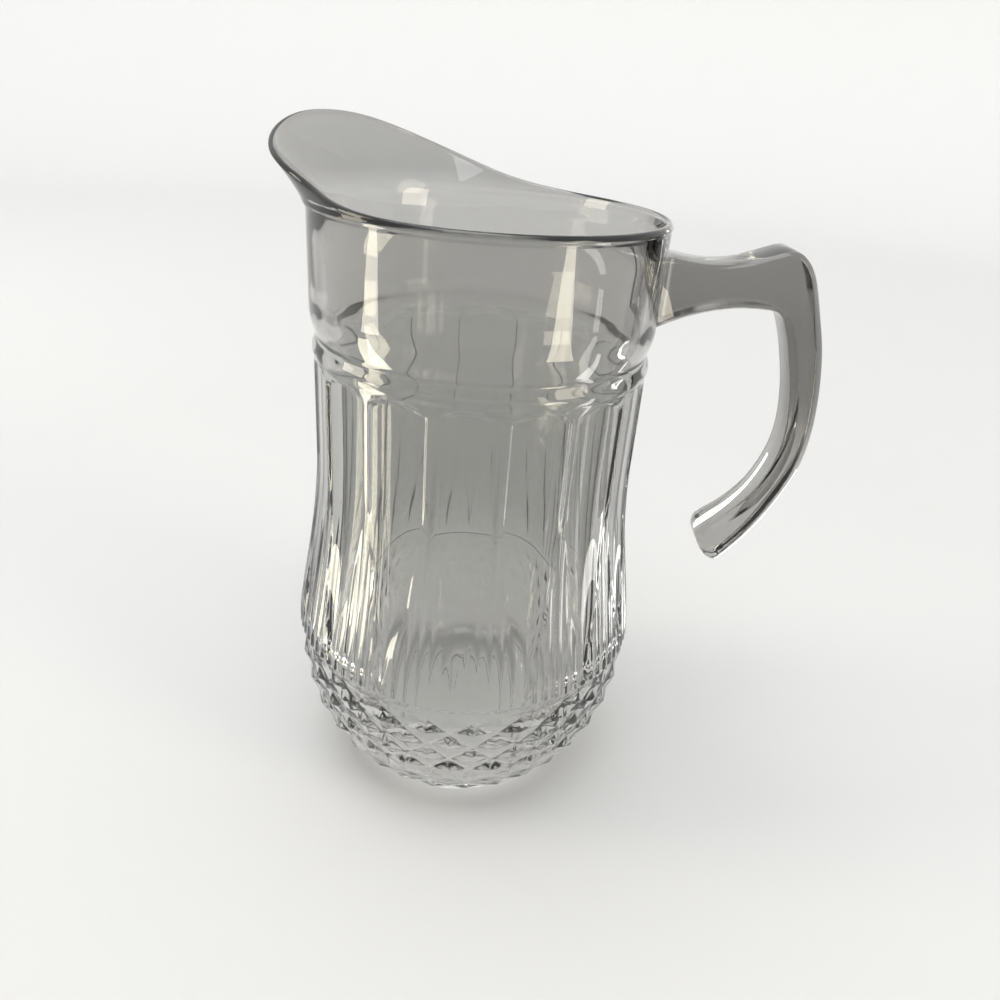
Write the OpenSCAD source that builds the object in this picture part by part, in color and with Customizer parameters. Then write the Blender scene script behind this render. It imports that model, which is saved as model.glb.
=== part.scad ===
// Pressed glass pitcher: a cut-pattern body with a raised pouring lip, and a hooked handle
// that is joined hot to the neck and ends free. Origin on the table under the body's axis,
// handle towards +X, lip towards -X.

/* [Body] */
// Height of the level part of the rim
rim_h = 208.5; // [195:0.5:230]
// Radius of the foot where it meets the table
foot_r = 37.5; // [30:0.5:45]
// Largest radius, at the belly
belly_r = 63; // [58:0.5:70]
// Height of the belly
belly_h = 60; // [56:1:66]
// Radius at the waist
waist_r = 54.9; // [50:0.5:58]
// Height at which the waist is reached
waist_h = 129; // [120:1:135]
// Radius of the plain neck
neck_r = 56; // [52:0.5:60]

/* [Wall] */
// Thickness of the wall at the neck
neck_wall = 4.5; // [3:0.1:6]
// Thickness of the wall at the belly
belly_wall = 7; // [5:0.1:9]
// Thickness of the wall at the waist
waist_wall = 6; // [4:0.1:8]
// Thickness of the floor
floor_t = 13; // [9:0.5:18]
// Radius that joins the floor to the inner wall
floor_fillet = 14; // [8:1:20]
// Depth of the hollow under the foot
foot_hollow = 1.5; // [0.5:0.1:3]
// Width of the ring that the foot stands on
foot_ring = 4; // [2:0.5:8]

/* [Diamonds] */
// Diamonds round the bowl
diamonds = 24; // [16:1:30]
// Half rows of diamonds from the foot to the groove
diamond_rows = 8; // [4:1:9]
// Height where the diamonds start
diamond_bottom = 3; // [2:0.5:6]
// Height of the plain groove above the diamonds
groove_h = 56; // [50:0.5:57.5]
// Depth of the cuts between the diamonds
diamond_cut = 2; // [1:0.1:3]

/* [Petals and ribs] */
// Tall petals round the wall, with a fan of ribs below each meeting line
petals = 16; // [12:1:20]
// Ribs in each fan
fan_ribs = 6; // [4:2:8]
// Height of the shoulder that ends the ribs
shoulder_h = 59.5; // [58.5:0.5:60.5]
// Bevel of the shoulder, at the ribs' lower ends
shoulder_bevel = 1.3; // [0.5:0.1:1.4]
// Height of a petal's lower tip
petal_tip_h = 63; // [62:0.5:68]
// Height where the petals reach their full width
petal_full_h = 126; // [110:1:140]
// Depth of the grooves between ribs
rib_cut = 0.8; // [0.4:0.1:1.5]
// Depth of a petal's hollow below the ribs
petal_cut = 1.5; // [0.5:0.1:2.5]

/* [Collar] */
// Height of the collar's lower edge, where the petals end
collar_h = 161; // [155:0.5:165]
// Height of the groove between the collar and the neck
collar_groove_h = 168; // [166:0.5:170]
// Height where the neck reaches its full radius
neck_h = 176; // [174:0.5:178]
// Radius of the collar's bead
collar_r = 55.5; // [53:0.1:57]
// Depth of the collar's groove below the bead
collar_cut = 2; // [1:0.1:3]

/* [Lip] */
// How far the lip rises above the level rim
lip_rise = 21.5; // [10:0.5:26]
// How far the whole lip flares out of the neck
lip_flare = 10; // [4:0.5:14]
// How much further its pouring point reaches
lip_point = 5; // [0:0.5:8]
// Half of the angle round the neck that the lip takes
lip_spread = 74; // [50:1:90]
// Half of the angle that the pouring point takes
point_spread = 34; // [20:1:50]
// Turn of the lip from straight opposite the handle
lip_turn = 15; // [0:1:20]
// Height of the fine mould ring under the rim
mould_ring_h = 204; // [190:0.5:206]
// How far the mould ring stands out of the neck
mould_ring = 0.5; // [0.2:0.1:1]
// Thickness of the wall at the rim
rim_wall = 4.2; // [3:0.1:5]

/* [Handle] */
// Reach of the handle from the body's axis
handle_reach = 113.5; // [105:0.5:125]
// Height of the middle of the handle's arm, at its knee
handle_arm_h = 193; // [185:0.5:194]
// Height of the middle of the handle's free end
handle_end_h = 98; // [70:1:110]
// Width of the handle across its flat sides
handle_w = 18; // [14:0.5:22]
// Thickness of the grip at its thinnest
handle_t = 9; // [7:0.5:10]
// Bevel along the handle's edges
handle_bevel = 2.2; // [1:0.1:3]

/* [Hidden] */

glass = [0.78, 0.80, 0.80, 0.5];
overrun = 1;
lip_seam = 0.1;
revolve_facets = 96;
lip_levels = 6;
crest_levels = 4;
handle_steps = 3;

// Rise of the lower wall from the foot to the belly
foot_curve_share = 0.7;
// Fall of the wall from the belly to the waist
belly_curve_share = 1.27;
// Lip: how steeply its height and its reach fall off round the neck
rise_share = 3.2;
flare_share = 5;
// Lip: how its wall curves outwards from the mould ring to the rim
trumpet_share = 1.35;
// Share of a petal's hollow that its edges have
petal_edge_share = 0.45;
// Where the petals' edges cross the ribs, from the tip up to full width
petal_edge_shares = [0, 0.2, 0.33, 0.48, 0.7, 1];
// Heights between the full petal and the collar
petal_top_shares = [0.5];

// Handle, from the neck round the knee to the free end: reach, height, thickness and width
handle_shares = [
    [-0.075, 0.942, 2.7, 1.35],
    [0.094, 0.95, 2.1, 1.08],
    [0.264, 0.963, 1.63, 1],
    [0.434, 0.978, 1.49, 1],
    [0.566, 0.992, 1.76, 1],
    [0.68, 1, 2.15, 1],
    [0.749, 0.99, 2.1, 1],
    [0.809, 0.939, 1.6, 1],
    [0.847, 0.892, 1.25, 1],
    [0.923, 0.768, 1.17, 1],
    [0.979, 0.621, 1.06, 1],
    [1, 0.474, 1, 1],
    [0.968, 0.347, 1, 1],
    [0.877, 0.216, 1.03, 1],
    [0.758, 0.114, 1.26, 1],
    [0.651, 0.047, 1.5, 1],
    [0.575, 0, 1.6, 1]];

lip_angle = 180 - lip_turn;
lip_base_h = mould_ring_h - 2 * mould_ring;
base_wall = neck_wall - mould_ring - lip_seam;
foot_inner_r = foot_r - foot_ring;
fan_columns = 2 * fan_ribs;
wall_columns = petals * fan_columns;
bowl_columns = 2 * diamonds;
half_fan = fan_ribs;
wall_top_h = (collar_h + collar_groove_h) / 2;

// Smooth step from 0 to 1
function ease(t) = let (s = min(1, max(0, t))) (1 - cos(180 * s)) / 2;

// How far the wall has drawn in from the belly to the waist
function waist_share(z) = pow(sin(90 * min(1, (z - belly_h) / (waist_h - belly_h))), belly_curve_share);

// Plain outer radius of the body before anything is cut
function body_r(z) =
    z < belly_h
    ? foot_r + (belly_r - foot_r) * sin(90 * pow(max(0, z) / belly_h, foot_curve_share))
    : belly_r + (waist_r - belly_r) * waist_share(z);

// Inner radius of the cavity
function cavity_r(z) =
    let (belly_in = belly_r - belly_wall, waist_in = waist_r - waist_wall, neck_in = neck_r - neck_wall)
    z < belly_h
    ? belly_in - floor_fillet * (1 - sin(90 * max(0, (z - floor_t) / (belly_h - floor_t))))
    : z < waist_h
      ? belly_in + (waist_in - belly_in) * waist_share(z)
      : waist_in + (neck_in - waist_in) * ease((z - waist_h) / (neck_h - waist_h));

// Point at a radius, an angle and a height
function polar(r, a, z) = [r * cos(a), r * sin(a), z];

// Height of row k of a petal: where its edge crosses rib column k
function petal_row_h(k) =
    petal_tip_h + (petal_full_h - petal_tip_h) * lookup(k * (len(petal_edge_shares) - 1) / (half_fan - 1),
        [for (i = [0:len(petal_edge_shares) - 1]) [i, petal_edge_shares[i]]]);

// Heights of the rows of the ribbed wall, and how many columns of a petal each one opens
wall_rows = concat(
    [[shoulder_h, 0], [shoulder_h + shoulder_bevel, 0]],
    [for (k = [0:half_fan - 1]) [petal_row_h(k), k]],
    [for (s = petal_top_shares) [petal_full_h + (collar_h - petal_full_h) * s, half_fan - 1]],
    [[collar_h, half_fan - 1], [wall_top_h, half_fan - 1]]);

// Radius of the ribbed wall at column i, in a row at height z where a petal is open that wide
function wall_r(i, z, open) =
    let (m = i % fan_columns,
         from_petal = min(m, fan_columns - m),
         ridge = from_petal % 2 == half_fan % 2)
    from_petal < open
    ? body_r(z) - petal_cut * (petal_edge_share + (1 - petal_edge_share) * cos(90 * from_petal / open))
    : from_petal == open && open > 0 && open < half_fan
      ? body_r(z) - petal_cut * petal_edge_share * (ridge ? 0 : 1)
      : body_r(z) - (ridge ? 0 : rib_cut);

function wall_ring(row) =
    let (drawn_in = row[0] > shoulder_h ? 0 : shoulder_bevel)
    [for (i = [0:wall_columns - 1])
        polar(wall_r(i, row[0], row[1]) - drawn_in, 360 * i / wall_columns, row[0])];

// Height of row k of the diamonds, and its ring: points and valleys by turns
function bowl_row_h(k) = diamond_bottom + (groove_h - diamond_bottom) * k / diamond_rows;
function bowl_ring(k) = [for (i = [0:bowl_columns - 1])
    let (z = bowl_row_h(k),
         edge = k == 0 || k == diamond_rows,
         peak = !edge && (i + k) % 2 == 0,
         cut = k == 0 ? 0 : diamond_cut)
    polar(body_r(z) - (peak ? 0 : cut), 360 * i / bowl_columns, z)];

// Two triangles of a cell between two rings of n points, split along the way it asks for
function cell(a, b, i, n, rising) =
    let (j = (i + 1) % n)
    rising ? [[a + i, a + j, b + j], [a + i, b + j, b + i]]
           : [[a + i, a + j, b + i], [a + j, b + j, b + i]];

// Triangles between a lower ring of na points and an upper one of nb points, na <= nb
function bridge(a, na, b, nb) = concat(
    [for (i = [0:nb - 1]) [a + round((i + 0.5) * na / nb) % na, b + (i + 1) % nb, b + i]],
    [for (j = [0:na - 1]) [a + j, a + (j + 1) % na, b + ceil((j + 0.5) * nb / na - 0.5) % nb]]);

// Solid core of the lower body: diamonds, groove, shoulder, ribs and petals
module patterned_wall() {
    bowl = [for (k = [0:diamond_rows]) bowl_ring(k)];
    wall = [for (row = wall_rows) wall_ring(row)];
    bowl_points = [for (ring = bowl) each ring];
    wall_start = len(bowl_points);
    points = concat(bowl_points, [for (ring = wall) each ring]);
    last = wall_start + (len(wall) - 1) * wall_columns;
    faces = concat(
        [[for (i = [bowl_columns - 1:-1:0]) i]],
        [for (k = [0:diamond_rows - 1], i = [0:bowl_columns - 1])
            each cell(k * bowl_columns, (k + 1) * bowl_columns, i, bowl_columns, (i + k) % 2 == 1)],
        bridge(diamond_rows * bowl_columns, bowl_columns, wall_start, wall_columns),
        [for (k = [0:len(wall) - 2], i = [0:wall_columns - 1])
            each cell(wall_start + k * wall_columns, wall_start + (k + 1) * wall_columns, i,
                wall_columns, i % fan_columns < half_fan)],
        [[for (i = [0:wall_columns - 1]) last + i]]);
    polyhedron(points, [for (f = faces) [for (v = [len(f) - 1:-1:0]) f[v]]], convexity = 6);
}

// Foot ring, collar and neck, all turned
module turned_core() {
    foot_top_r = body_r(diamond_bottom);
    rotate_extrude($fn = revolve_facets)
        polygon([
            [0, 0], [foot_r, 0], [foot_top_r, diamond_bottom], [0, diamond_bottom + overrun]]);
    bead_h = (collar_h + collar_groove_h) / 2;
    rotate_extrude($fn = revolve_facets)
        polygon([
            [0, collar_h], [collar_r - mould_ring, collar_h], [collar_r, collar_h + 2 * mould_ring],
            [collar_r, bead_h], [collar_r - collar_cut, collar_groove_h],
            [neck_r, neck_h], [neck_r, mould_ring_h - mould_ring],
            [neck_r + mould_ring, mould_ring_h], [0, mould_ring_h]]);
}

// Fall-off of a bump round the neck: 1 at the lip's middle, 0 at its ends
function fall(a, spread, steepness) =
    let (d = abs((a - lip_angle + 540) % 360 - 180),
         c = (1 + cos(180 * min(1, d / spread))) / 2)
    1 - pow(1 - c, steepness);

function rim_top(a) = rim_h - rim_wall / 2 + lip_rise * fall(a, lip_spread, rise_share);
function rim_reach(a) = neck_r + lip_flare * fall(a, lip_spread, flare_share)
    + lip_point * fall(a, point_spread, 1);

// Outer point of the lip's wall at angle a and share u of its height
function lip_outer(a, u) =
    let (base_r = neck_r - mould_ring)
    [base_r + (rim_reach(a) - base_r) * pow(u, trumpet_share), lip_base_h + (rim_top(a) - lip_base_h) * u];

// Ring of the rim and lip: up the outside, over the round crest, down the inside
function rim_section(a) = concat(
    [for (k = [0:lip_levels]) lip_outer(a, k / lip_levels)],
    [for (k = [1:crest_levels - 1]) let (t = 180 * k / crest_levels, top = lip_outer(a, 1))
        [top[0] - rim_wall / 2 * (1 - cos(t)), top[1] + rim_wall / 2 * sin(t)]],
    [for (k = [lip_levels:-1:0]) let (p = lip_outer(a, k / lip_levels))
        [p[0] - base_wall - (rim_wall - base_wall) * k / lip_levels, p[1]]]);

module rim_and_lip() {
    sections = [for (i = [0:revolve_facets - 1]) let (a = 360 * i / revolve_facets)
        [for (p = rim_section(a)) polar(p[0], a, p[1])]];
    m = len(sections[0]);
    polyhedron([for (s = sections) each s],
        [for (i = [0:revolve_facets - 1], k = [0:m - 1])
            let (a = i * m, b = (i + 1) % revolve_facets * m, n = (k + 1) % m)
            each [[a + k, a + n, b + n], [a + k, b + n, b + k]]], convexity = 6);
}

// Everything the pitcher holds, with a plain mouth that goes right through the rim
module cavity() {
    steps = 24;
    top = lip_base_h + mould_ring;
    rotate_extrude($fn = revolve_facets)
        polygon(concat([[0, floor_t]],
            [for (k = [0:steps]) let (z = floor_t + (neck_h - floor_t) * k / steps) [cavity_r(z), z]],
            [[neck_r - neck_wall, top + overrun], [0, top + overrun]]));
    translate([0, 0, top])
        cylinder(r = neck_r - neck_wall, h = rim_h + lip_rise - top + overrun, $fn = revolve_facets);
}

module pitcher_body() {
    color(glass) difference() {
        union() {
            difference() {
                union() {
                    patterned_wall();
                    turned_core();
                }
                cavity();
            }
            rim_and_lip();
        }
        translate([0, 0, -overrun])
            cylinder(r = foot_inner_r, h = foot_hollow + overrun, $fn = revolve_facets);
    }
}

// Smooth curve through four values, at t between the middle two
function curve(a, b, c, d, t) =
    b + t * (c - a + t * (2 * a - 5 * b + 4 * c - d + t * (3 * b - 3 * c + d - a))) / 2;

// Middle of the handle, its thickness and its width, at share s of the table's spans
function handle_station(s) =
    let (last = len(handle_shares) - 1,
         k = max(0, min(last - 1, floor(s))),
         v = [for (j = [0:3]) curve(handle_shares[max(0, k - 1)][j], handle_shares[k][j],
             handle_shares[k + 1][j], handle_shares[min(last, k + 2)][j], s - k)])
    [neck_r + v[0] * (handle_reach - handle_t / 2 - neck_r),
     handle_end_h + v[1] * (handle_arm_h - handle_end_h),
     v[2] * handle_t, v[3] * handle_w];

// Bevelled section across the handle, drawn in by a margin
function handle_section(s, nudge, margin) =
    let (step = 0.01,
         p = handle_station(s),
         ahead = handle_station(s + step) - handle_station(s - step),
         along = [ahead[0], ahead[1]] / norm([ahead[0], ahead[1]]),
         out = [-along[1], along[0]],
         middle = [p[0], p[1]] + along * nudge,
         t = p[2] / 2 - margin,
         w = p[3] / 2 - margin,
         b = handle_bevel)
    [for (q = [[-t, b - w], [b - t, -w], [t - b, -w], [t, b - w], [t, w - b], [t - b, w], [b - t, w], [-t, w - b]])
        [middle[0] + out[0] * q[0], q[1], middle[1] + out[1] * q[0]]];

module handle() {
    last = len(handle_shares) - 1;
    stations = last * handle_steps;
    sections = concat(
        [for (k = [0:stations]) handle_section(k / handle_steps, 0, 0)],
        [handle_section(last, handle_bevel, handle_bevel)]);
    m = len(sections[0]);
    n = len(sections);
    color(glass) difference() {
        polyhedron([for (s = sections) each s],
            concat(
                [[for (i = [m - 1:-1:0]) i]],
                [for (k = [0:n - 2], i = [0:m - 1])
                    let (a = k * m, b = a + m, j = (i + 1) % m)
                    each [[a + i, a + j, b + j], [a + i, b + j, b + i]]],
                [[for (i = [0:m - 1]) (n - 1) * m + i]]), convexity = 6);
        cylinder(r = neck_r, h = rim_h, $fn = revolve_facets);
    }
}

pitcher_body();
handle();
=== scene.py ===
import math

import bmesh
import bpy
from mathutils import Matrix, Vector


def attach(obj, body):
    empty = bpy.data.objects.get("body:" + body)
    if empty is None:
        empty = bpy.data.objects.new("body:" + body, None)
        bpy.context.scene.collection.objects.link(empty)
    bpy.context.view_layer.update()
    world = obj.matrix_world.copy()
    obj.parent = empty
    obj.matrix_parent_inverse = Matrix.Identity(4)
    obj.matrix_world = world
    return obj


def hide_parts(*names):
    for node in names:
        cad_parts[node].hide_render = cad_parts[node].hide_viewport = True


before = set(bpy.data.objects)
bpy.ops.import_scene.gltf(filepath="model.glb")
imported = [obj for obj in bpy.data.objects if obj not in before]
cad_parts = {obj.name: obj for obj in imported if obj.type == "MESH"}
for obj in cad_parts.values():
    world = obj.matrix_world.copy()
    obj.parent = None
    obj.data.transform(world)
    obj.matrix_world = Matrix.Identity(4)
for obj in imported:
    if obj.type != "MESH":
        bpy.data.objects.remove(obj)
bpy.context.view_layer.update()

# A pressed crystal pitcher on a pale studio floor.
# The pieces are drawn in millimetres and degrees and scaled to metres when they are finished;
# the glass, the studio and the view have their places and heights in metres.

scene = bpy.context.scene
millimetre = 0.001
millilitre = 1e-6
mergeGap = 0.01 * millimetre
print("frame loaded")


def ease(t):
    # a soft step from 0 to 1
    t = min(1.0, max(0.0, t))
    return (1 - math.cos(math.pi * t)) / 2


def between(low, high, share):
    return low + (high - low) * share


def angleOf(vert):
    return math.degrees(math.atan2(vert.co.y, vert.co.x))


def spunBand(rows, columns, place):
    # place(row, angle in degrees) gives radius and height; a band starts as one line of vertices
    bm = bmesh.new()
    rowLayer = bm.verts.layers.int.new("row")
    line = []
    for index, row in enumerate(rows):
        radius, height = place(row, 0)
        vert = bm.verts.new((radius, 0, height))
        vert[rowLayer] = index
        line.append(vert)
    edges = [bm.edges.new(pair) for pair in zip(line, line[1:])]
    bmesh.ops.spin(bm, geom=line + edges, cent=(0, 0, 0), axis=(0, 0, 1), dvec=(0, 0, 0),
                   angle=2 * math.pi, steps=columns, use_merge=True)
    step = 360 / columns
    for vert in bm.verts:
        angle = round(angleOf(vert) / step) % columns * step
        radius, height = place(rows[vert[rowLayer]], angle)
        turn = math.radians(angle)
        vert.co = (radius * math.cos(turn), radius * math.sin(turn), height)
    return bm


def openLoop(bm, height, radius):
    # the ring of open edges nearest to a height and a radius
    def far(edge):
        middle = (edge.verts[0].co + edge.verts[1].co) / 2
        return math.hypot(math.hypot(middle.x, middle.y) - radius, middle.z - height)

    openEdges = [edge for edge in bm.edges if edge.is_boundary]
    seed = min(openEdges, key=far)
    loop = {seed}
    grow = [seed]
    while grow:
        for vert in grow.pop().verts:
            for other in vert.link_edges:
                if other.is_boundary and other not in loop:
                    loop.add(other)
                    grow.append(other)
    return [edge for edge in openEdges if edge in loop]


def addBand(bm, band):
    mesh = bpy.data.meshes.new("band")
    band.to_mesh(mesh)
    band.free()
    bm.from_mesh(mesh)
    bpy.data.meshes.remove(mesh)


def finishedPiece(bm, name):
    bmesh.ops.scale(bm, vec=(millimetre, millimetre, millimetre), verts=bm.verts)
    bmesh.ops.remove_doubles(bm, verts=bm.verts, dist=mergeGap)
    bmesh.ops.recalc_face_normals(bm, faces=bm.faces)
    if bm.calc_volume(signed=True) < 0:
        bmesh.ops.reverse_faces(bm, faces=bm.faces)
    volume = round(bm.calc_volume() / millilitre, 1)
    openEdges = sum(1 for edge in bm.edges if not edge.is_manifold)
    for face in bm.faces:
        face.smooth = True
    mesh = bpy.data.meshes.new(name)
    bm.to_mesh(mesh)
    bm.free()
    piece = bpy.data.objects.new(name, mesh)
    scene.collection.objects.link(piece)
    print(name, len(mesh.polygons), "faces,", openEdges, "open edges,", volume, "ml")
    return piece


body = {
    "rimHeight": 208.5, "footRadius": 37.5, "bellyRadius": 63.0, "bellyHeight": 60.0,
    "waistRadius": 54.9, "waistHeight": 129.0, "neckRadius": 56.0,
    "footCurve": 0.337, "footFullness": 3.3,  # how the outline swells from the foot to the belly
    "bellyCurve": 1.27,  # how it draws in from the belly to the waist
    "columns": 192,
}


def waistShare(z):
    up = min(1.0, (z - body["bellyHeight"]) / (body["waistHeight"] - body["bellyHeight"]))
    return math.sin(math.pi / 2 * up) ** body["bellyCurve"]


def bodyRadius(z):
    # the outside of the uncut wall, from the foot to the collar
    if z < body["bellyHeight"]:
        up = max(0.0, z) / body["bellyHeight"]
        share = math.sin(math.pi / 2 * up ** body["footCurve"]) ** body["footFullness"]
        return between(body["footRadius"], body["bellyRadius"], share)
    return between(body["bellyRadius"], body["waistRadius"], waistShare(z))


diamond = {
    "count": 24, "halfRows": 8, "bottom": 3.0, "top": 56.0, "cut": 1.3,
    "softEdge": 0.6, "softSegments": 3,
    "facetArea": 4.0, "facetEdge": 0.25,  # faces larger than this area are facets and get an inner edge
}


def diamondBand():
    # peaks and valleys take turns on a plain grid, and the grooves run from valley to valley
    rows = list(range(diamond["halfRows"] + 1))
    columns = 2 * diamond["count"]
    step = 360 / columns

    def place(row, angle):
        z = between(diamond["bottom"], diamond["top"], row / diamond["halfRows"])
        onEdge = row in (0, diamond["halfRows"])
        peak = not onEdge and (round(angle / step) + row) % 2 == 0
        cut = 0 if peak or row == 0 else diamond["cut"]
        return bodyRadius(z) - cut, z

    bm = spunBand(rows, columns, place)
    rowLayer = bm.verts.layers.int["row"]
    valleys = [vert for vert in bm.verts if (round(angleOf(vert) / step) + vert[rowLayer]) % 2]
    bmesh.ops.connect_verts(bm, verts=valleys)
    cutEdges = [edge for edge in bm.edges if not edge.is_boundary]
    bmesh.ops.bevel(bm, geom=cutEdges, offset=diamond["softEdge"], offset_type="OFFSET", affect="EDGES",
                    segments=diamond["softSegments"], profile=0.5, material=-1, clamp_overlap=True)
    facets = [face for face in bm.faces if face.calc_area() > diamond["facetArea"]]
    print("diamond facets", len(facets))
    bmesh.ops.inset_individual(bm, faces=facets, thickness=diamond["facetEdge"], use_even_offset=True)
    return bm


wall = {
    "petals": 16, "ribsPerFan": 6, "shoulder": 58.8, "tip": 62.5, "full": 126.0, "top": 161.0,
    "ribCut": 0.4, "petalCut": 1.5, "petalEdge": 0.45,  # the edge's depth is a share of the petal's
    "shoulderRound": 2.2, "runOut": 0.5, "archRise": 2.5, "archSoft": 2.4,
    "edgeShares": (0, 0.2, 0.33, 0.48, 0.7, 1),  # where a petal's edge crosses each rib, from its tip up
    "edgeReach": 0.01,  # half ribs within which a vertex counts as on that edge
    "finer": 4,  # columns for each half rib, and rows for each rib that the edge crosses
    "shoulderRows": (0, 0.12, 0.35, 0.65, 1), "straightRows": 5, "archHeight": 6.0, "archRows": 8,
}
fullOpening = len(wall["edgeShares"]) - 1.0


def ribPlace(angle):
    # how far an angle lies from the middle of its petal, in half ribs
    sector = 360 / wall["petals"]
    offset = abs((angle + sector / 2) % sector - sector / 2)
    return offset / sector * 2 * wall["ribsPerFan"]


def petalOpening(z):
    # half the width of a petal at a height, in half ribs
    up = (z - wall["tip"]) / (wall["full"] - wall["tip"])
    if up <= 0:
        return 0.0
    for k, (low, high) in enumerate(zip(wall["edgeShares"], wall["edgeShares"][1:])):
        if up <= high:
            return k + (up - low) / (high - low)
    return fullOpening


def ribDepth(q):
    # a shallow flute between ridges at every even place
    t = abs((q + 1) % 2 - 1)
    return wall["ribCut"] * (1 - (1 - t) ** 2)


def wallDepth(q, z):
    # how deep the wall is cut at a height and a place in half ribs
    opening = petalOpening(z)
    petalEdge = wall["petalCut"] * wall["petalEdge"]
    if q <= opening and opening > 0:
        hollow = between(petalEdge, wall["petalCut"], math.cos(math.pi / 2 * q / opening))
        archTop = wall["top"] - wall["archRise"] * (q / opening) ** 2
        return hollow * ease((archTop - z) / wall["archSoft"])
    grown = ease((q - opening) / wall["runOut"]) if opening > 0 else 1.0
    depth = between(petalEdge, ribDepth(q), grown)
    if opening >= fullOpening:  # between two full petals only their shared ridge stands
        depth = petalEdge * (1 - grown)
        depth *= ease((wall["top"] - wall["archRise"] - z) / wall["archSoft"])
    return depth


def wallHeights():
    archFoot = wall["top"] - wall["archHeight"]
    heights = [wall["shoulder"] + wall["shoulderRound"] * share for share in wall["shoulderRows"]]
    heights.append((heights[-1] + wall["tip"]) / 2)
    for low, high in zip(wall["edgeShares"], wall["edgeShares"][1:]):
        heights += [between(wall["tip"], wall["full"], between(low, high, i / wall["finer"]))
                    for i in range(wall["finer"])]
    heights += [between(wall["full"], archFoot, i / wall["straightRows"])
                for i in range(wall["straightRows"] + 1)]
    heights += [between(archFoot, wall["top"], i / wall["archRows"]) for i in range(1, wall["archRows"] + 1)]
    return heights


def wallBand():
    def place(z, angle):
        below = max(0.0, 1 - (z - wall["shoulder"]) / wall["shoulderRound"])
        rounded = wall["shoulderRound"] * (1 - math.sqrt(max(0.0, 1 - below ** 2)))
        return bodyRadius(z) - max(wallDepth(ribPlace(angle), z), 0) - rounded, z

    heights = wallHeights()
    bm = spunBand(heights, wall["petals"] * 2 * wall["ribsPerFan"] * wall["finer"], place)
    rowLayer = bm.verts.layers.int["row"]
    edgeVerts = []
    for vert in bm.verts:
        opening = petalOpening(heights[vert[rowLayer]])
        onEdge = abs(ribPlace(angleOf(vert)) - opening) < wall["edgeReach"]
        if onEdge and 0 < opening < fullOpening:
            edgeVerts.append(vert)
    bmesh.ops.connect_verts(bm, verts=edgeVerts)  # a petal's edge is one clean line
    return bm


collar = {
    "beadRadius": 55.4, "beadFull": 163.0, "beadHigh": 163.4, "grooveHeight": 168.0, "cut": 1.3,
    "neckHeight": 176.0,
    "rows": (161.2, 161.7, 162.6, 163.8, 165.0, 166.0, 167.0, 168.0, 169.2, 170.6, 172.2, 174.0,
             176.0, 180.0, 186.0, 192.0, 198.0, 201.5),
}


def collarRadius(z):
    if z <= collar["beadHigh"]:
        up = (z - wall["top"]) / (collar["beadFull"] - wall["top"])
        return between(body["waistRadius"], collar["beadRadius"], math.sin(math.pi / 2 * min(1.0, up)))
    if z <= collar["grooveHeight"]:
        up = (z - collar["beadHigh"]) / (collar["grooveHeight"] - collar["beadHigh"])
        return collar["beadRadius"] - collar["cut"] * ease(up)
    up = min(1.0, (z - collar["grooveHeight"]) / (collar["neckHeight"] - collar["grooveHeight"]))
    return between(collar["beadRadius"] - collar["cut"], body["neckRadius"], math.sin(math.pi / 2 * up))


lip = {
    "base": 205.0, "rise": 21.4, "flare": 12.9, "trumpet": 1.25,
    "turn": 31.0,  # from straight opposite the handle
    "riseSpread": 48.5, "riseFall": 2.2, "flareSpread": 50.0, "flareFall": 5.5,  # degrees, steepness
    "baseWall": 3.3, "rimWall": 2.3, "lipWall": 1.7,
    "ringHeight": 207.0, "ring": 0.25, "ringWidth": 0.9,  # the fine mould ring below the rim
    "outRows": 14, "crestRows": 10, "inRows": 12,
}


def lipFall(angle, spread, steepness):
    # 1 at the middle of the lip, down to 0 on the level rim
    away = abs((angle - (180 - lip["turn"]) + 540) % 360 - 180)
    return math.exp(-(away / spread) ** steepness)


def crestWall(angle):
    # how thick the rim is
    return between(lip["rimWall"], lip["lipWall"], lipFall(angle, lip["riseSpread"], lip["riseFall"]))


def rimTop(angle):
    rise = lip["rise"] * lipFall(angle, lip["riseSpread"], lip["riseFall"])
    return body["rimHeight"] - crestWall(angle) / 2 + rise


def rimReach(angle):
    return body["neckRadius"] + lip["flare"] * lipFall(angle, lip["flareSpread"], lip["flareFall"])


def lipOuter(angle, up):
    radius = between(body["neckRadius"], rimReach(angle), up ** lip["trumpet"])
    return radius, between(lip["base"], rimTop(angle), up)


cavity = {
    "neckWall": 4.5, "waistWall": 6.0, "bellyWall": 7.0, "floor": 13.0, "fillet": 14.0,
    "stepLow": 166.0, "stepHigh": 180.0, "stepFoot": 0.3,  # the inner step behind the collar
    "thinFrom": 182.0,  # the neck's wall thins from here up to the lip
    "corner": 23.0,  # the floor's own rounding starts here
    "rows": (198.0, 190.0, 184.0, 182.0, 180.0, 178.0, 176.0, 174.0, 172.0, 170.0, 168.0, 166.0, 164.0,
             158.0, 149.0, 140.0, 129.0, 118.0, 108.0, 98.0, 88.0, 78.0, 69.0, 60.0, 52.0, 45.0, 38.0,
             32.0, 27.0, 23.0),
    "floorRows": 8,
}


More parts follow.
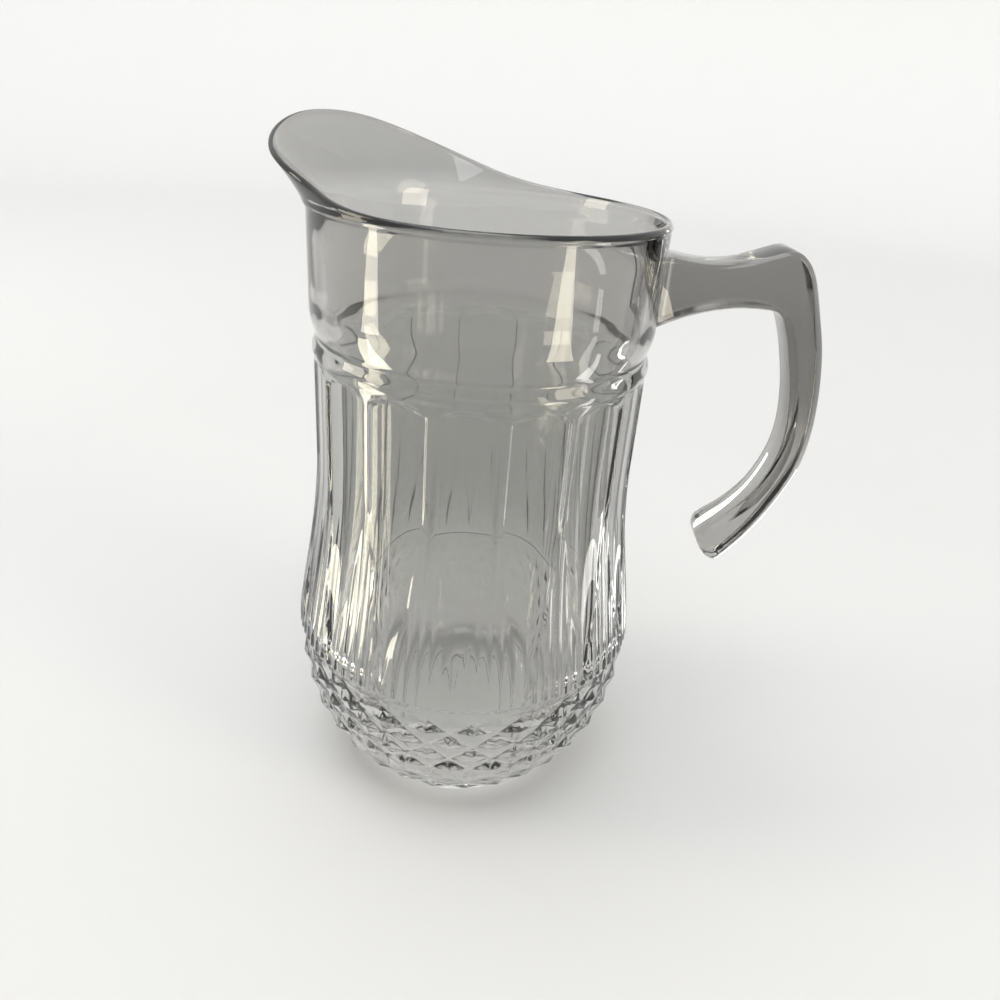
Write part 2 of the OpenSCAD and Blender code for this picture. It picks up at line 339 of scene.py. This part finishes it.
def cavityRadius(z):
    # the inside of the wall, from the floor's rounding to the lip
    bellyIn = body["bellyRadius"] - cavity["bellyWall"]
    waistIn = body["waistRadius"] - cavity["waistWall"]
    neckIn = body["neckRadius"] - cavity["neckWall"]
    stepIn = waistIn + cavity["stepFoot"]
    if z < body["bellyHeight"]:
        up = max(0.0, (z - cavity["floor"]) / (body["bellyHeight"] - cavity["floor"]))
        return bellyIn - cavity["fillet"] * (1 - math.sin(math.pi / 2 * up))
    if z < body["waistHeight"]:
        return between(bellyIn, waistIn, waistShare(z))
    if z < cavity["stepLow"]:
        up = (z - body["waistHeight"]) / (cavity["stepLow"] - body["waistHeight"])
        return between(waistIn, stepIn, up)
    if z < cavity["thinFrom"]:
        up = (z - cavity["stepLow"]) / (cavity["stepHigh"] - cavity["stepLow"])
        return between(stepIn, neckIn, ease(up))
    up = (z - cavity["thinFrom"]) / (lip["base"] - cavity["thinFrom"])
    return between(neckIn, body["neckRadius"] - lip["baseWall"], up)


def upperRows():
    # (kind, value) rows from the collar up the outside, over the rim and down the inside to the floor
    rows = [("collar", z) for z in collar["rows"]]
    rows += [("lipOut", i / lip["outRows"]) for i in range(lip["outRows"] + 1)]
    rows += [("crest", i / lip["crestRows"]) for i in range(1, lip["crestRows"])]
    rows += [("lipIn", 1 - i / lip["inRows"]) for i in range(lip["inRows"] + 1)]
    rows += [("inner", z) for z in cavity["rows"]]
    rows += [("floor", i / cavity["floorRows"]) for i in range(cavity["floorRows"] + 1)]
    return rows


def placeUpper(row, angle):
    kind, value = row
    if kind == "collar":
        return collarRadius(value), value
    if kind == "lipOut":
        radius, height = lipOuter(angle, value)
        bump = max(0.0, 1 - abs(height - lip["ringHeight"]) / lip["ringWidth"])
        return radius + lip["ring"] * ease(bump), height
    if kind == "crest":
        radius, height = lipOuter(angle, 1)
        turn = math.pi * value
        half = crestWall(angle) / 2
        return radius - half * (1 - math.cos(turn)), height + half * math.sin(turn)
    if kind == "lipIn":
        radius, height = lipOuter(angle, value)
        return radius - between(lip["baseWall"], crestWall(angle), value), height
    if kind == "inner":
        return cavityRadius(value), value
    turn = math.pi / 2 * value
    rounding = cavity["corner"] - cavity["floor"]
    return (cavityRadius(cavity["corner"]) - rounding * (1 - math.cos(turn)),
            cavity["corner"] - rounding * math.sin(turn))


foot = {
    "ring": 4.0, "hollow": 1.5, "columns": 96,
    "topInset": 1.2, "topHeight": 1.9,  # the ring that meets the diamonds
    "outerRows": ((1.2, 0.5), (0.3, 0.1), (-0.6, 0.0)),  # steps out from the foot ring's outer edge, heights
    "innerRows": ((0.6, 0.0), (0.1, 0.15), (-0.3, 0.6), (-1.2, 1.3)),  # the same from its inner edge
    "hollowRun": 2.5, "hollowCrown": 0.3,
}


def footBand():
    inside = body["footRadius"] - foot["ring"]
    rows = [(bodyRadius(diamond["bottom"]) - foot["topInset"], foot["topHeight"])]
    rows += [(body["footRadius"] + out, height) for out, height in foot["outerRows"]]
    rows += [(inside + out, height) for out, height in foot["innerRows"]]
    rows.append((inside - foot["hollowRun"], foot["hollow"]))
    rows.append((inside / 2, foot["hollow"] + foot["hollowCrown"]))
    return spunBand(rows, foot["columns"], lambda row, angle: row)


def makeBody():
    bm = bmesh.new()
    for band in (diamondBand(), wallBand(), spunBand(upperRows(), body["columns"], placeUpper), footBand()):
        addBand(bm, band)
    bottom, top, shoulder = diamond["bottom"], diamond["top"], wall["shoulder"]
    neckStart = collar["rows"][0]
    # the open rings that face each other, each by its height and radius
    joins = (
        ((bottom, bodyRadius(bottom)), (foot["topHeight"], bodyRadius(bottom) - foot["topInset"])),
        ((top, bodyRadius(top) - diamond["cut"]), (shoulder, bodyRadius(shoulder) - wall["shoulderRound"])),
        ((wall["top"], body["waistRadius"]), (neckStart, collarRadius(neckStart))),
    )
    for one, other in joins:
        edges = openLoop(bm, *one) + openLoop(bm, *other)
        bmesh.ops.bridge_loops(bm, edges=edges)
        print("joined", len(edges), "edges at height", one[0])
    # the middles of the foot's hollow and of the floor
    bmesh.ops.holes_fill(bm, edges=[edge for edge in bm.edges if edge.is_boundary], sides=0)
    return finishedPiece(bm, "pitcherBody")


pitcherBody = makeBody()
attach(pitcherBody, "root")
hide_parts("pitcher_body")
print("body made")


handle = {
    "corner": 1.3, "gripCorner": 2.6, "gripStart": 5.0, "gripSpan": 5.0,  # the bevels widen past the knee
    "softEdge": 0.5, "softShare": 0.4, "roundSteps": 2, "spanSteps": 6,
    "sink": 0.3, "capDepth": 4.4, "capSteps": 6,
    # from the neck round the knee to the free end, each row the outer side's reach and height,
    # then the inner side's, then the width
    "outline": (
        (51.0, 199.6, 51.5, 175.2, 24.3), (59.9, 197.8, 60.2, 178.9, 19.4),
        (68.9, 197.0, 69.6, 182.2, 18.0), (77.9, 197.9, 79.0, 184.2, 18.0),
        (85.6, 200.4, 86.6, 184.6, 18.0), (92.2, 202.7, 90.4, 184.4, 18.0),
        (95.8, 202.3, 92.4, 184.0, 18.0), (98.5, 200.4, 93.6, 183.2, 18.0),
        (100.6, 198.0, 94.6, 182.2, 18.0), (102.8, 194.0, 95.5, 180.8, 18.0),
        (105.9, 185.4, 97.2, 177.0, 18.0), (110.0, 172.3, 99.8, 169.6, 18.0),
        (112.6, 157.7, 103.2, 156.3, 18.0), (113.4, 142.9, 104.5, 143.1, 18.0),
        (111.7, 129.8, 103.0, 132.1, 18.0), (106.6, 116.4, 98.3, 120.6, 18.0),
        (100.7, 105.4, 91.6, 112.2, 18.0), (95.5, 98.0, 85.5, 107.0, 18.0),
        (91.4, 92.9, 84.0, 105.5, 18.0)),
}


def handleOutline(s):
    # a smooth curve through the outline's rows
    rows = handle["outline"]
    last = len(rows) - 1
    k = max(0, min(last - 1, math.floor(s)))
    t = s - k
    near = [rows[i] for i in (max(0, k - 1), k, k + 1, min(last, k + 2))]
    outX, outZ, inX, inZ, wide = (
        b + t * (c - a + t * (2 * a - 5 * b + 4 * c - d + t * (3 * b - 3 * c + d - a))) / 2
        for a, b, c, d in zip(*near))
    return Vector((outX, 0, outZ)), Vector((inX, 0, inZ)), wide


def softened(corner, neighbour):
    # where a corner's rounding starts, on the side towards its neighbour
    side = neighbour - corner
    return corner + side.normalized() * min(handle["softEdge"], side.length * handle["softShare"])


def handleSection(s, nudge=0.0, margin=0.0):
    # the cut across the handle: eight corners, each one a little round
    outer, inner, wide = handleOutline(s)
    across = (outer - inner).normalized()
    along = Vector((across.z, 0, -across.x))
    middle = (outer + inner) / 2 + along * nudge
    t = (outer - inner).length / 2 - margin
    w = wide / 2 - margin
    b = between(handle["corner"], handle["gripCorner"], ease((s - handle["gripStart"]) / handle["gripSpan"]))
    corners = [Vector(place) for place in ((-t, b - w), (b - t, -w), (t - b, -w), (t, b - w),
                                           (t, w - b), (t - b, w), (b - t, w), (-t, w - b))]
    points = []
    for k, corner in enumerate(corners):
        first = softened(corner, corners[k - 1])
        last = softened(corner, corners[(k + 1) % len(corners)])
        for i in range(handle["roundSteps"] + 1):
            u = i / handle["roundSteps"]
            point = first * (1 - u) ** 2 + corner * 2 * u * (1 - u) + last * u ** 2
            points.append(middle + across * point.x + Vector((0, point.y, 0)))
    return points


def handleSections():
    last = len(handle["outline"]) - 1
    sections = [handleSection(k / handle["spanSteps"]) for k in range(last * handle["spanSteps"] + 1)]
    for k in range(1, handle["capSteps"] + 1):  # the rounded free end
        turn = math.pi / 2 * k / (handle["capSteps"] + 1)
        sections.append(handleSection(last, handle["capDepth"] * math.sin(turn),
                                      handle["capDepth"] * (1 - math.cos(turn))))
    rootRadius = body["neckRadius"] - handle["sink"]
    for corner in sections[0]:  # the root lies on the neck
        corner.x = math.sqrt(rootRadius ** 2 - corner.y ** 2)
    return sections


def makeHandle():
    sections = handleSections()
    bm = bmesh.new()
    cornerLayer = bm.verts.layers.int.new("corner")
    bmesh.ops.create_circle(bm, cap_ends=False, segments=len(sections[0]), radius=1)
    for index, vert in enumerate(bm.verts):
        vert[cornerLayer] = index
    ring = list(bm.edges)
    for k, section in enumerate(sections):
        if k:
            grown = bmesh.ops.extrude_edge_only(bm, edges=ring)["geom"]
            ring = [item for item in grown if isinstance(item, bmesh.types.BMEdge)]
        for vert in {vert for edge in ring for vert in edge.verts}:
            vert.co = section[vert[cornerLayer]]
    bmesh.ops.holes_fill(bm, edges=[edge for edge in bm.edges if edge.is_boundary], sides=0)
    return finishedPiece(bm, "pitcherHandle")


pitcherHandle = makeHandle()
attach(pitcherHandle, "root")
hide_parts("handle")
print("handle made")


class Shade:
    # a socket of a material, with its arithmetic written as plain expressions
    def __init__(self, tree, socket):
        self.tree = tree
        self.socket = socket

    def maths(self, operation, first, second):
        return self.tree.node("ShaderNodeMath", {"operation": operation}, {0: first, 1: second})

    def __add__(self, other):
        return self.maths("ADD", self, other)

    def __radd__(self, other):
        return self.maths("ADD", other, self)

    def __sub__(self, other):
        return self.maths("SUBTRACT", self, other)

    def __rsub__(self, other):
        return self.maths("SUBTRACT", other, self)

    def __mul__(self, other):
        return self.maths("MULTIPLY", self, other)

    def __rmul__(self, other):
        return self.maths("MULTIPLY", other, self)


class Finish:
    def __init__(self, name):
        self.material = bpy.data.materials.new(name)
        self.material.use_nodes = True
        self.nodes = self.material.node_tree.nodes
        self.links = self.material.node_tree.links
        self.nodes.clear()

    def node(self, kind, settings, sockets, output=0):
        made = self.nodes.new(kind)
        for name, value in settings.items():
            setattr(made, name, value)
        for key, value in sockets.items():
            if isinstance(value, Shade):
                self.links.new(value.socket, made.inputs[key])
            else:
                made.inputs[key].default_value = value
        if made.outputs:
            return Shade(self, made.outputs[output])

    def blend(self, share, first, second):
        # the Mix node's colour sockets go by number, because its float and vector sockets share their names
        return self.node("ShaderNodeMix", {"data_type": "RGBA"}, {0: share, 6: first, 7: second}, 2)

    def ramp(self, value, start, full, kind="LINEAR"):
        # 0 below start, 1 above full
        return self.node("ShaderNodeMapRange", {"interpolation_type": kind}, {
            "Value": value, "From Min": start, "From Max": full})

    def output(self, sockets):
        self.node("ShaderNodeOutputMaterial", {}, sockets)


glass = {
    "ior": 1.52, "roughness": 0.006, "roughnessNoise": 0.012, "absorbed": (0.45, 0.44, 0.42, 1.0),
    "waveScale": 75.0, "waveStretch": (1.0, 1.0, 0.35), "waveDetail": 1.0, "waveHeight": 0.00018,
    "calmTop": 0.15, "waveStart": 0.175, "calmShare": 0.35,  # the waves are calm below and full above
    "clear": (1.0, 1.0, 1.0, 1.0), "sealFade": 0.002,
    # each piece: how dark it is inside, its lowest colour, then the heights where a next colour starts
    # and is full, painted shade that is lighter at the foot; sealed is the distance from the axis up to which
    # it is joined to other glass
    "pitcherBody": {
        "depth": 8.0, "lowest": (0.86, 0.86, 0.85, 1.0),
        "shadeByHeight": ((0.02, 0.1, (0.53, 0.53, 0.515, 1.0)), (0.15, 0.185, (0.6, 0.595, 0.58, 1.0)),
                    (0.204, 0.214, (0.43, 0.425, 0.413, 1.0)))},
    "pitcherHandle": {
        "depth": 30.0, "lowest": (0.6, 0.595, 0.58, 1.0), "sealed": 0.0562,
        "shadeByHeight": ((0.12, 0.16, (0.25, 0.246, 0.238, 1.0)), (0.178, 0.196, (0.3, 0.295, 0.284, 1.0)))},
}


def glassFinish(name, depth, lowest, shadeByHeight, sealed=None):
    finish = Finish(name)
    place = finish.node("ShaderNodeTexCoord", {}, {}, "Object")
    height = finish.node("ShaderNodeSeparateXYZ", {}, {"Vector": place}, "Z")
    # painted shade: the glass colour changes with height, lighter at the foot and darker up the body,
    # standing in for how light falls through the glass
    shadeTint = lowest
    for start, full, colour in shadeByHeight:
        shadeTint = finish.blend(finish.ramp(height, start, full, "SMOOTHSTEP"), shadeTint, colour)
    if sealed:  # a hot seal has no surface of its own, so it tints nothing
        level = finish.node("ShaderNodeVectorMath", {"operation": "MULTIPLY"}, {0: place, 1: (1.0, 1.0, 0.0)})
        reach = finish.node("ShaderNodeVectorMath", {"operation": "LENGTH"}, {0: level}, "Value")
        free = finish.ramp(reach, sealed, sealed + glass["sealFade"])
        shadeTint = finish.blend(1 - free, shadeTint, glass["clear"])
    stretched = finish.node("ShaderNodeVectorMath", {"operation": "MULTIPLY"}, {
        0: place, 1: glass["waveStretch"]})
    wave = finish.node("ShaderNodeTexNoise", {}, {
        "Vector": stretched, "Scale": glass["waveScale"], "Detail": glass["waveDetail"]})
    up = finish.ramp(height, glass["calmTop"], glass["waveStart"])
    strength = glass["calmShare"] + (1 - glass["calmShare"]) * up
    relief = finish.node("ShaderNodeBump", {}, {
        "Height": wave * strength, "Strength": 1.0, "Distance": glass["waveHeight"]})
    skin = finish.node("ShaderNodeBsdfPrincipled", {}, {
        "Base Color": shadeTint, "Transmission Weight": 1.0, "IOR": glass["ior"],
        "Roughness": glass["roughness"] + glass["roughnessNoise"] * wave, "Normal": relief})
    inside = finish.node("ShaderNodeVolumeAbsorption", {}, {"Color": glass["absorbed"], "Density": depth})
    finish.output({"Surface": skin, "Volume": inside})
    return finish.material


for piece in (pitcherBody, pitcherHandle):
    piece.data.materials.append(glassFinish(piece.name + "Glass", **glass[piece.name]))
print("glass made")

studio = {
    "floorRadius": 1.6, "bend": 0.6, "bendSteps": 10, "wallTop": 1.6, "columns": 96,
    # the wall is painted lighter than the floor, painted light that makes up for the less light falling on it
    "floorColour": (0.58, 0.58, 0.58, 1.0), "wallPaintedLight": (0.8, 0.8, 0.8, 1.0),
    "nearPaint": 0.4, "farPaint": 2.2, "roughness": 0.9, "shine": 0.1,
    # the painted pool of light under the foot: its glow, no glow outside it, and the distances where it is
    # full and where it ends
    "paintedPool": (0.45, 0.45, 0.44, 1.0), "unlit": (0.0, 0.0, 0.0, 1.0), "paintedPoolFull": 0.03, "paintedPoolEnd": 0.047,
    "air": (0.97, 0.985, 1.0, 1.0), "airStrength": 1.15, "aimHeight": 0.1,
}


def floorPaint():
    paint = Finish("studioPaint")
    place = paint.node("ShaderNodeTexCoord", {}, {}, "Object")
    distance = paint.node("ShaderNodeVectorMath", {"operation": "LENGTH"}, {0: place}, "Value")
    # painted light: the stage is painted lighter going out to the wall, where less light falls
    far = paint.ramp(distance, studio["nearPaint"], studio["farPaint"])
    colour = paint.blend(far, studio["floorColour"], studio["wallPaintedLight"])
    # a painted pool of light: the floor glows under the foot, standing in for the light that the glass
    # gathers there
    beside = paint.ramp(distance, studio["paintedPoolFull"], studio["paintedPoolEnd"], "SMOOTHSTEP")
    paintedPool = paint.blend(beside, studio["paintedPool"], studio["unlit"])
    coat = paint.node("ShaderNodeBsdfPrincipled", {}, {
        "Base Color": colour, "Roughness": studio["roughness"], "Specular IOR Level": studio["shine"],
        "Emission Color": paintedPool, "Emission Strength": 1.0})
    paint.output({"Surface": coat})
    return paint.material


def makeFloor():
    # a round floor that bends up into a wall, spun from its outline
    reach, bend = studio["floorRadius"], studio["bend"]
    line = [(0.0, 0.0), (reach / 2, 0.0), (reach, 0.0)]
    for k in range(1, studio["bendSteps"] + 1):
        turn = math.pi / 2 * k / studio["bendSteps"]
        line.append((reach + bend * math.sin(turn), bend * (1 - math.cos(turn))))
    line.append((reach + bend, studio["wallTop"]))
    bm = bmesh.new()
    verts = [bm.verts.new((x, 0, z)) for x, z in line]
    edges = [bm.edges.new(pair) for pair in zip(verts, verts[1:])]
    bmesh.ops.spin(bm, geom=verts + edges, cent=(0, 0, 0), axis=(0, 0, 1), dvec=(0, 0, 0),
                   angle=2 * math.pi, steps=studio["columns"], use_merge=True)
    bmesh.ops.remove_doubles(bm, verts=bm.verts, dist=millimetre)
    bmesh.ops.recalc_face_normals(bm, faces=bm.faces)
    if sum(face.normal.z for face in bm.faces) < 0:
        bmesh.ops.reverse_faces(bm, faces=bm.faces)
    for face in bm.faces:
        face.smooth = True
    mesh = bpy.data.meshes.new("studioFloor")
    bm.to_mesh(mesh)
    bm.free()
    mesh.materials.append(floorPaint())
    floor = bpy.data.objects.new("studioFloor", mesh)
    scene.collection.objects.link(floor)
    return floor


makeFloor()

world = bpy.data.worlds.new("studioAir")
world.use_nodes = True
air = world.node_tree.nodes["Background"]
air.inputs["Color"].default_value = studio["air"]
air.inputs["Strength"].default_value = studio["airStrength"]
scene.world = world

# name, direction round the pitcher in degrees, height, distance, width, length, watts, colour;
# the windows look level at the pitcher, and the cards lie flat and shine up into the cut glass
lamps = (
    ("overhead", 200, 1.5, 0.3, 1.2, 0.9, 9.0, (1.0, 1.0, 1.0)),
    ("windowLeft", 184, 0.75, 1.5, 0.5, 1.1, 9.0, (1.0, 0.93, 0.76)),
    ("windowRight", -28, 0.75, 1.5, 0.5, 1.1, 9.0, (1.0, 0.93, 0.76)),
    ("cardLeft", 196, 0.004, 0.36, 0.08, 0.36, 0.85, (1.0, 0.94, 0.74)),
    ("cardFar", 201, 0.004, 1.0, 0.14, 0.8, 2.6, (1.0, 0.94, 0.76)),
    ("cardRight", -39, 0.004, 0.91, 0.15, 0.88, 2.9, (1.0, 0.94, 0.76)),
    ("cardHandle", -12, 0.004, 0.38, 0.04, 0.36, 0.26, (1.0, 0.99, 0.93)),
    ("cardBehind", 25, 0.004, 0.24, 0.018, 0.2, 0.06, (1.0, 1.0, 1.0)),
)


def placeLamp(name, turn, height, distance, width, length, watts, colour):
    lamp = bpy.data.lights.new(name, "AREA")
    lamp.shape = "RECTANGLE"
    lamp.size = width
    lamp.size_y = length
    lamp.energy = watts
    lamp.color = colour
    bearing = math.radians(turn)
    spot = Vector((distance * math.cos(bearing), distance * math.sin(bearing), height))
    if name.startswith("card"):
        turned = Matrix.Rotation(bearing - math.pi / 2, 4, "Z") @ Matrix.Rotation(math.pi, 4, "X")
    else:
        aim = Vector((0, 0, studio["aimHeight"])) - spot
        if name.startswith("window"):
            aim.z = 0
        turned = aim.to_track_quat("-Z", "Y").to_matrix().to_4x4()
    holder = bpy.data.objects.new(name, lamp)
    holder.matrix_world = Matrix.Translation(spot) @ turned
    holder.visible_camera = False
    scene.collection.objects.link(holder)


for lamp in lamps:
    placeLamp(*lamp)
print("studio made")

view = {
    "place": (0.01029, -0.26287, 0.24075), "near": 0.01,
    "down": 0.473, "roll": 0.082,  # radians
    "lens": 28.98, "sensor": 36.0,  # millimetres
}
ahead = Vector((0, math.cos(view["down"]), -math.sin(view["down"])))
level = Vector((1, 0, 0))
upward = level.cross(ahead)
side = level * math.cos(view["roll"]) + upward * math.sin(view["roll"])
top = upward * math.cos(view["roll"]) - level * math.sin(view["roll"])
camera = bpy.data.cameras.new("studioCamera")
camera.lens = view["lens"]
camera.sensor_width = view["sensor"]
camera.clip_start = view["near"]
holder = bpy.data.objects.new("studioCamera", camera)
turned = Matrix((side, top, -ahead)).transposed().to_4x4()
holder.matrix_world = Matrix.Translation(Vector(view["place"])) @ turned
scene.collection.objects.link(holder)
scene.camera = holder
scene.view_settings.view_transform = "Standard"
print("view set")
